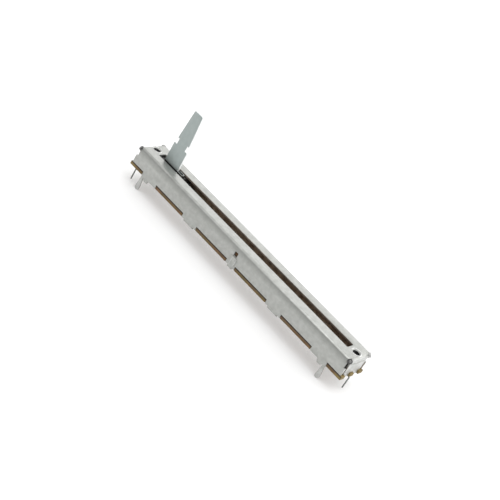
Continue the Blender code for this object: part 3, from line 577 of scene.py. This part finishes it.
def case_face(face):
    """Give a face of the case its finish, by its direction and place."""
    middle = face.calc_center_median()
    from_bore = math.hypot(abs(middle.x) - SCREW_X, middle.y)
    if from_bore < BORE_REACH and abs(face.normal.z) < FACES_AXIS:
        return case_finishes.index(bore_shade_steel)
    looks_in = face.normal.y * middle.y < 0 and abs(face.normal.y) > FACES_AXIS
    inside = looks_in and abs(middle.y) < SIDE_FACE - SHEET / 2
    if inside and face.calc_area() > INSIDE_AREA:
        at_slot = abs(middle.y) < SLOT_SIDE
        return case_finishes.index(cut_edge_steel if at_slot else greased_steel)
    # Painted light: the end flaps take the lighter copy of the case steel.
    if abs(face.normal.x) > SQUARE_TO_AXIS and abs(middle.x) > CASE_END - SHEET / 2:
        return case_finishes.index(painted_light_steel)
    return case_finishes.index(case_steel)


print("finishes of the case:", len(case_finishes), "of the lever:", len(lever_finishes))

# %% [markdown]
# Each piece gets the round that its making leaves, in millimetres: some hundredths on the
# sheared case, clip and pins and on the sawn board, and a tenth or more on the tumbled lever and
# the mouldings.

# %% Soften the shown pieces
soften("case", 0.06, case_finishes, "body", case_face)
soften("circuit_board", 0.08, [board_phenolic], "body")
soften("lever", 0.10, lever_finishes, "slider", lever_face)
soften("lever_clip", 0.05, [clip_steel], "slider")
soften("carriage", 0.12, [carriage_acetal], "slider")
for stop_name in ("end_stop_left", "end_stop_right"):
    soften(stop_name, 0.15, [buffer_rubber], "body")
for pin_name in ("terminal_left_front", "terminal_left_back", "terminal_right"):
    soften(pin_name, 0.05, [pin_tin], "body")

# %% [markdown]
# The other nodes are already the right shape, because a printed film, a turned rivet or a thin
# spring has no edge wide enough to round. They only change their material.

# %% Finish the other nodes
PLAIN_NODES = {
    "resistive_track": carbon_ink,
    "collector_track": silver_ink,
    "land_left": silver_ink,
    "land_right": silver_ink,
    "rivet_left_front": rivet_brass,
    "rivet_left_back": rivet_brass,
    "rivet_right": rivet_brass,
    "wiper": spring_bronze,
    "side_spring": spring_bronze,
}
for node, finish in PLAIN_NODES.items():
    nodes[node].data.materials.clear()
    nodes[node].data.materials.append(finish)
print("refinished:", len(PLAIN_NODES))

# %% [markdown]
# ## Small repeated details with Geometry Nodes
#
# Threads, rolled rims, pressed beads and flutes all repeat. Each is one tree that puts a small
# shape on every point of a carrier mesh, so one change alters them all. The tree takes its
# sizes through named inputs. It ends in Realize Instances, which turns copies into faces that
# an exported model keeps, and in Set Material.

# %% Helpers for repeated details
# A shape made by nodes starts with an empty finish slot. Set Material adds its own behind it.
EMPTY_SLOT = 0


def start_repeat(name, sizes):
    """Start a tree with a geometry input and one named input for each size."""
    tree = bpy.data.node_groups.new(name, "GeometryNodeTree")
    tree.interface.new_socket("Carrier", in_out="INPUT", socket_type="NodeSocketGeometry")
    tree.interface.new_socket("Detail", in_out="OUTPUT", socket_type="NodeSocketGeometry")
    for label, value in sizes.items():
        socket = tree.interface.new_socket(label, in_out="INPUT", socket_type="NodeSocketFloat")
        socket.default_value = value
    return tree, add(tree, "NodeGroupInput"), add(tree, "NodeGroupOutput")


def close_repeat(tree, entry, exit_node, shape, finish, turn=None):
    """Put the shape on every carrier point, make it real and give it its finish."""
    scatter = add(tree, "GeometryNodeInstanceOnPoints")
    if turn:
        join(tree, turn, scatter.inputs["Rotation"])
    real = add(tree, "GeometryNodeRealizeInstances")
    smooth = add(tree, "GeometryNodeSetShadeSmooth")
    paint = add(tree, "GeometryNodeSetMaterial")
    paint.inputs["Material"].default_value = finish
    join(tree, entry.outputs["Carrier"], scatter.inputs["Points"])
    join(tree, shape, scatter.inputs["Instance"])
    join(tree, scatter.outputs["Instances"], real.inputs[0])
    join(tree, real.outputs[0], smooth.inputs[0])
    join(tree, smooth.outputs[0], paint.inputs["Geometry"])
    join(tree, paint.outputs[0], exit_node.inputs["Detail"])


def grow(name, tree, points, sizes):
    """Run a tree on a carrier of points and keep the result as a plain mesh of the body."""
    carrier = bpy.data.meshes.new(name)
    carrier.from_pydata(points, [], [])
    piece = bpy.data.objects.new(name, carrier)
    bpy.context.scene.collection.objects.link(piece)
    modifier = piece.modifiers.new("repeat", "NODES")
    modifier.node_group = tree
    identifiers = {item.name: item.identifier for item in tree.interface.items_tree}
    for label, value in sizes.items():
        modifier[identifiers[label]] = value
    mesh = plain_mesh(piece)
    mesh.materials.pop(index=EMPTY_SLOT)
    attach(piece, "body")
    print(name, "on", len(points), "points, faces", len(mesh.polygons))
    print("    open edges", open_edges(mesh), "finish", mesh.materials[0].name)


print("repeat helpers ready")

# %% [markdown]
# An M3 thread is a ridge that climbs 0.5 mm a turn. A Spiral curve gives the path, and a
# three-sided profile swept along it gives the ridge, sunk a little into the bore's wall.

# %% Cut the threads
THREAD_SIZES = {"Bore": 1.45 * MM, "Ridge": 0.16 * MM, "Rise": 1.35 * MM, "Turns": 2.7}
THREAD_START = CASE_TOP - 2.2 * MM
STEPS_A_TURN = 32
RIDGE_SIDES = 3

thread_tree, entry, exit_node = start_repeat("thread_tree", THREAD_SIZES)
spiral = add(thread_tree, "GeometryNodeCurveSpiral")
spiral.inputs["Resolution"].default_value = STEPS_A_TURN
ridge = add(thread_tree, "GeometryNodeCurvePrimitiveCircle")
ridge.inputs["Resolution"].default_value = RIDGE_SIDES
sweep = add(thread_tree, "GeometryNodeCurveToMesh")
sweep.inputs["Fill Caps"].default_value = True
for socket in ("Start Radius", "End Radius"):
    join(thread_tree, entry.outputs["Bore"], spiral.inputs[socket])
join(thread_tree, entry.outputs["Turns"], spiral.inputs["Rotations"])
join(thread_tree, entry.outputs["Rise"], spiral.inputs["Height"])
join(thread_tree, entry.outputs["Ridge"], ridge.inputs["Radius"])
join(thread_tree, spiral.outputs["Curve"], sweep.inputs["Curve"])
join(thread_tree, ridge.outputs["Curve"], sweep.inputs["Profile Curve"])
close_repeat(thread_tree, entry, exit_node, sweep.outputs["Mesh"], bore_shade_steel)
thread_points = [(-SCREW_X, 0, THREAD_START), (SCREW_X, 0, THREAD_START)]
grow("screw_threads", thread_tree, thread_points, THREAD_SIZES)

# %% [markdown]
# Drawing a collar down through the sheet leaves a burnished rim round each hole. Its near-white
# colour is partly that bare metal and partly a painted highlight. A rim is a ring: one circle
# swept round another. It stands about an eighth of a millimetre proud.
# The tree can also turn each ring to look out of the corner that it stands on, for a later
# cell: the sign of a corner's position is the direction that it looks in.

# %% Burnish the hole rims
RING_STEPS = 36
ROLL_STEPS = 10
HOLE_RIM = {"Ring": 2.12 * MM, "Roll": 0.16 * MM}
RIM_HEIGHT = CASE_TOP - 0.03 * MM


def corner_turn(tree):
    """Give the turn that points a shape outwards from the corner that it stands on."""
    place = add(tree, "GeometryNodeInputPosition")
    outwards = add(tree, "ShaderNodeVectorMath", operation="SIGN")
    align = add(tree, "FunctionNodeAlignRotationToVector", axis="Z")
    join(tree, place.outputs[0], outwards.inputs[0])
    join(tree, outwards.outputs[0], align.inputs["Vector"])
    return align.outputs[0]


def ring_tree(name, sizes, finish, turn_to_corner=False):
    """Make a tree that puts a ring with a round section at every point."""
    tree, entry, exit_node = start_repeat(name, sizes)
    ring = add(tree, "GeometryNodeCurvePrimitiveCircle")
    ring.inputs["Resolution"].default_value = RING_STEPS
    roll = add(tree, "GeometryNodeCurvePrimitiveCircle")
    roll.inputs["Resolution"].default_value = ROLL_STEPS
    sweep = add(tree, "GeometryNodeCurveToMesh")
    join(tree, entry.outputs["Ring"], ring.inputs["Radius"])
    join(tree, entry.outputs["Roll"], roll.inputs["Radius"])
    join(tree, ring.outputs["Curve"], sweep.inputs["Curve"])
    join(tree, roll.outputs["Curve"], sweep.inputs["Profile Curve"])
    turn = corner_turn(tree) if turn_to_corner else None
    close_repeat(tree, entry, exit_node, sweep.outputs["Mesh"], finish, turn)
    return tree


hole_rim_tree = ring_tree("hole_rim_tree", HOLE_RIM, rim_burnished_and_highlight)
hole_points = [(end * SCREW_X, 0, RIM_HEIGHT) for end in (-1, 1)]
grow("hole_rims", hole_rim_tree, hole_points, HOLE_RIM)

# %% [markdown]
# A hollow rivet is closed by rolling its rim outwards. The roll is the same ring tree with
# smaller sizes. It stands on both flanges of all three rivets.

# %% Roll the rivet rims
RIVET_RIM = {"Ring": 0.62 * MM, "Roll": 0.14 * MM}

rim_points = []
for node in ("rivet_left_front", "rivet_left_back", "rivet_right"):
    low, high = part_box(node)
    middle = (low + high) / 2
    rim_points += [(middle.x, middle.y, low.z), (middle.x, middle.y, high.z)]
rivet_rim_tree = ring_tree("rivet_rim_tree", RIVET_RIM, rivet_brass)
grow("rivet_rims", rivet_rim_tree, rim_points, RIVET_RIM)

# %% [markdown]
# The lugs and the end flaps are stiffened by beads, pressed outwards with a round punch. A
# bead is a stretched ball, half sunk in the sheet, so its rim runs out into the flat metal.

# %% Press the beads
BALL_SEGMENTS = 24
BALL_RINGS = 14
WHOLE_RADIUS = 1.0
LUG_BEAD = {"Half X": 0.42 * MM, "Half Y": 0.20 * MM, "Half Z": 2.0 * MM}
LUG_BEAD_HEIGHT = 2.7 * MM
FLAP_BEAD = {"Half X": 0.16 * MM, "Half Y": 4.8 * MM, "Half Z": 0.55 * MM}
FLAP_BEAD_HEIGHT = BOARD_TOP + 5.3 * MM
ENDS_AND_SIDES = [(end, side) for end in (-1, 1) for side in (-1, 1)]


def bead_tree(name, sizes, finish=case_steel):
    """Make a tree that presses a stretched ball at every point."""
    tree, entry, exit_node = start_repeat(name, sizes)
    ball = add(tree, "GeometryNodeMeshUVSphere")
    ball.inputs["Segments"].default_value = BALL_SEGMENTS
    ball.inputs["Rings"].default_value = BALL_RINGS
    ball.inputs["Radius"].default_value = WHOLE_RADIUS
    stretch = add(tree, "ShaderNodeCombineXYZ")
    place = add(tree, "GeometryNodeTransform")
    for label, axis in (("Half X", "X"), ("Half Y", "Y"), ("Half Z", "Z")):
        join(tree, entry.outputs[label], stretch.inputs[axis])
    join(tree, ball.outputs["Mesh"], place.inputs["Geometry"])
    join(tree, stretch.outputs[0], place.inputs["Scale"])
    close_repeat(tree, entry, exit_node, place.outputs["Geometry"], finish)
    return tree


lug_tree = bead_tree("lug_bead_tree", LUG_BEAD)
lug_points = [(end * LUG_X, side * SIDE_FACE, LUG_BEAD_HEIGHT) for end, side in ENDS_AND_SIDES]
grow("lug_beads", lug_tree, lug_points, LUG_BEAD)
flap_tree = bead_tree("flap_bead_tree", FLAP_BEAD)
flap_points = [(end * CASE_END, 0, FLAP_BEAD_HEIGHT) for end in (-1, 1)]
grow("flap_beads", flap_tree, flap_points, FLAP_BEAD)

# %% [markdown]
# The centre tab of each wall carries the clamping force on the board, so it is fluted: two fine
# ridges run down its pressed rib. Their crests take the lighter steel of the end flaps, as a
# painted highlight.

# %% Flute the centre tabs
FLUTE = {"Half X": 0.20 * MM, "Half Y": 0.22 * MM, "Half Z": 1.8 * MM}
FLUTE_PLACES = (-0.45 * MM, 1.60 * MM)
FLUTE_HEIGHT = BOARD_TOP + 0.9 * MM

flute_tree = bead_tree("flute_tree", FLUTE, painted_light_steel)
flute_points = [
    (place, side * RIB_FACE, FLUTE_HEIGHT) for place in FLUTE_PLACES for side in (-1, 1)
]
grow("tab_flutes", flute_tree, flute_points, FLUTE)

# %% [markdown]
# Three folds meet at each corner of the case, where the sheet gathers into a small pip inside a
# burr. The pip is a bead like the others. The burr is the ring from the holes, turned to look
# out of its own corner.

# %% Raise the corner pips and burrs
CORNER_PIP = {"Half X": 1.05 * MM, "Half Y": 1.05 * MM, "Half Z": 1.1 * MM}
PIP_INSET = 1.0 * MM
CORNER_BURR = {"Ring": 0.76 * MM, "Roll": 0.28 * MM}
BURR_INSET = 0.58 * MM
CORNER_DROP = 0.15 * MM
CORNER_REACH = 0.35 * MM


def corners_inset(inset):
    """Give the four upper corners of the case, moved inwards on all three axes."""
    reach = CASE_END + CORNER_REACH - inset
    half_width = SIDE_FACE - inset
    height = CASE_TOP - CORNER_DROP - inset
    return [(end * reach, side * half_width, height) for end, side in ENDS_AND_SIDES]


pip_tree = bead_tree("corner_pip_tree", CORNER_PIP, pip_steel)
grow("corner_pips", pip_tree, corners_inset(PIP_INSET), CORNER_PIP)
burr_tree = ring_tree("corner_burr_tree", CORNER_BURR, corner_steel, turn_to_corner=True)
grow("corner_burrs", burr_tree, corners_inset(BURR_INSET), CORNER_BURR)

# %% [markdown]
# ## Floor and light
#
# The picture is a studio shot on white. The floor is a pale sheet at the height of the lug
# tips. A camera ray that meets it sees a little extra white, and so do the rays that gloss and
# glass send out, so that metal mirrors the same white that the camera sees.

# %% Lay the floor
FLOOR_SIZE = 6.0
FLOOR_WHITE = 0.74
FLOOR_GLOW = 0.27
PAPER_ROUGHNESS = 0.9

floor_mesh = bpy.data.meshes.new("floor")
floor_data = bmesh.new()
bmesh.ops.create_grid(floor_data, x_segments=1, y_segments=1, size=FLOOR_SIZE / 2)
floor_data.to_mesh(floor_mesh)
floor_data.free()
floor = bpy.data.objects.new("floor", floor_mesh)
bpy.context.scene.collection.objects.link(floor)

white_paper, tree, shader = start_finish("white_paper", 0.0)
shader.inputs["Roughness"].default_value = PAPER_ROUGHNESS
shader.inputs["Base Color"].default_value = (FLOOR_WHITE, FLOOR_WHITE, FLOOR_WHITE, 1)
shader.inputs["Specular IOR Level"].default_value = 0.0
path = add(tree, "ShaderNodeLightPath")
seen = path.outputs["Is Camera Ray"]
for ray in ("Is Glossy Ray", "Is Transmission Ray"):
    either = add(tree, "ShaderNodeMath", operation="MAXIMUM")
    join(tree, seen, either.inputs[0])
    join(tree, path.outputs[ray], either.inputs[1])
    seen = either.outputs[0]
dim = add(tree, "ShaderNodeMath", operation="MULTIPLY")
dim.inputs[1].default_value = FLOOR_GLOW
glow = add(tree, "ShaderNodeEmission")
both = add(tree, "ShaderNodeAddShader")
join(tree, seen, dim.inputs[0])
join(tree, dim.outputs[0], glow.inputs["Strength"])
join(tree, shader.outputs[0], both.inputs[0])
join(tree, glow.outputs[0], both.inputs[1])
join(tree, both.outputs[0], tree.nodes["Material Output"].inputs["Surface"])
floor.data.materials.append(white_paper)
print("floor laid at z = 0")

# %% [markdown]
# Sheet metal is a mirror of its room. The long front wall of this part is greyer than its top,
# and the end that faces right is nearly white, so the room is darker in front and brighter
# behind, above and to the right. The sky gets that slope, and four softboxes add the rest. The
# front and overhead ones stand where the long bend and the holes' rims mirror them.

# %% Light it softly
AIM = Vector((0, 0, 0))
SKY_SLOPES = {"X": (0.0, 0.36), "Y": (0.44, 0.50), "Z": (0.0, 0.20)}
SOFTBOXES = {
    "end_softbox": ((0.55, 0.75, 0.18), 0.95, 4.2),
    "top_softbox": ((-0.38, 0.72, 0.47), 0.9, 2.0),
    "front_softbox": ((-0.37, -0.52, 0.63), 0.6, 1.0),
    "overhead_softbox": ((0.12, 0.0, 0.8), 0.5, 1.4),
}

world = bpy.data.worlds.new("studio")
bpy.context.scene.world = world
world.use_nodes = True
sky = world.node_tree
direction = add(sky, "ShaderNodeTexCoord")
axes = add(sky, "ShaderNodeSeparateXYZ")
join(sky, direction.outputs["Generated"], axes.inputs[0])
brightness = None
for axis, (low, high) in SKY_SLOPES.items():
    slope = add(sky, "ShaderNodeMapRange")
    slope.inputs["From Min"].default_value = -1.0
    slope.inputs["To Min"].default_value = low
    slope.inputs["To Max"].default_value = high
    join(sky, axes.outputs[axis], slope.inputs["Value"])
    if brightness is None:
        brightness = slope.outputs["Result"]
        continue
    total = add(sky, "ShaderNodeMath", operation="ADD")
    join(sky, brightness, total.inputs[0])
    join(sky, slope.outputs["Result"], total.inputs[1])
    brightness = total.outputs[0]
join(sky, brightness, sky.nodes["Background"].inputs["Strength"])
sky.nodes["Background"].inputs["Color"].default_value = (1, 1, 1, 1)


def softbox(name, place, size, power):
    """Hang a square area lamp that faces the part."""
    lamp = bpy.data.lights.new(name, "AREA")
    lamp.shape = "SQUARE"
    lamp.size = size
    lamp.energy = power
    holder = bpy.data.objects.new(name, lamp)
    holder.location = place
    holder.rotation_euler = (AIM - Vector(place)).to_track_quat("-Z", "Y").to_euler()
    bpy.context.scene.collection.objects.link(holder)


for name, (place, size, power) in SOFTBOXES.items():
    softbox(name, place, size, power)
print("softboxes:", len(SOFTBOXES), "under a sloped sky")

# %% [markdown]
# The Standard view shows a white of one as white, as a product shot on white needs. A filmic
# view would grey the paper.

# %% View settings
bpy.context.scene.view_settings.view_transform = "Standard"
print("view:", bpy.context.scene.view_settings.view_transform)
